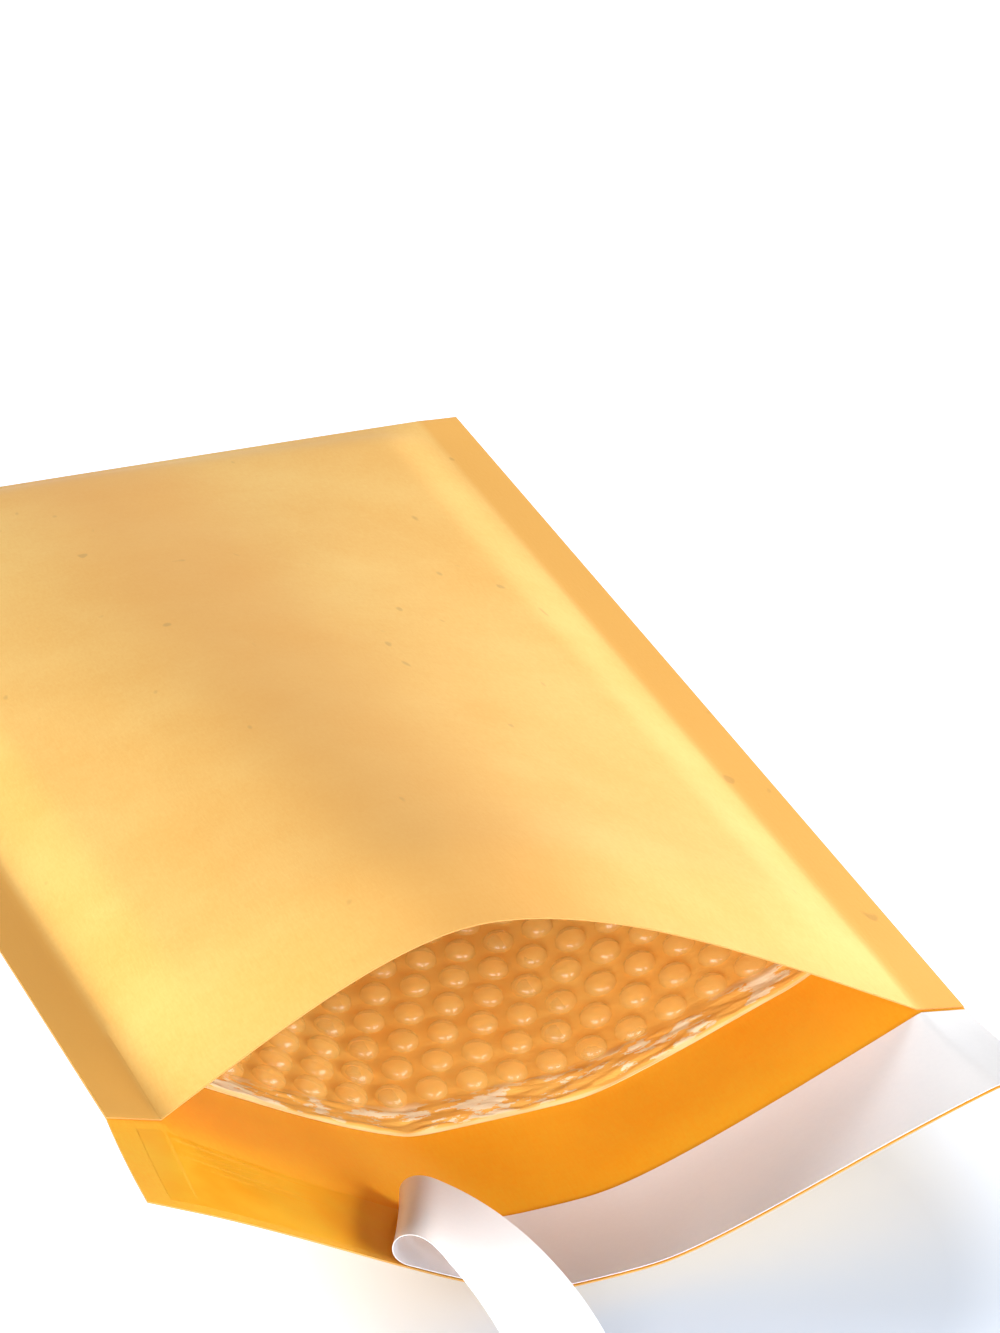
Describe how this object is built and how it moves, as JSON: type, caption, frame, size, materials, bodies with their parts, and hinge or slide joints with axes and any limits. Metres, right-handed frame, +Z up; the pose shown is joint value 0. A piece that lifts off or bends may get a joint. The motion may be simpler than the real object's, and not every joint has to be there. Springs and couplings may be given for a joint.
{
  "type": "bubble mailer",
  "caption": "Open padded paper mailer lined with bubble film, with an adhesive flap whose release liner is half peeled.",
  "frame": {"origin": "on the floor, under the middle of the mouth's lower edge", "axes": "+Y from the mouth to the closed fold, +Z up, +X to the right as seen from the mouth"},
  "size_m": [0.241, 0.4575, 0.0843],
  "materials": {
    "kraft_paper": "matt, faintly fibrous, brighter and more orange inside",
    "bubble_film": "glossy clear film that takes the colour of the paper behind it",
    "hot_melt": "clear pressure-sensitive adhesive, smooth",
    "liner_paper": "smooth, silicone coated, satin"
  },
  "bodies": {
    "root": {"kraft_envelope": "kraft_paper", "bubble_lining": "bubble_film", "adhesive_strip": "hot_melt", "release_liner": "liner_paper"}
  },
  "joints": []
}
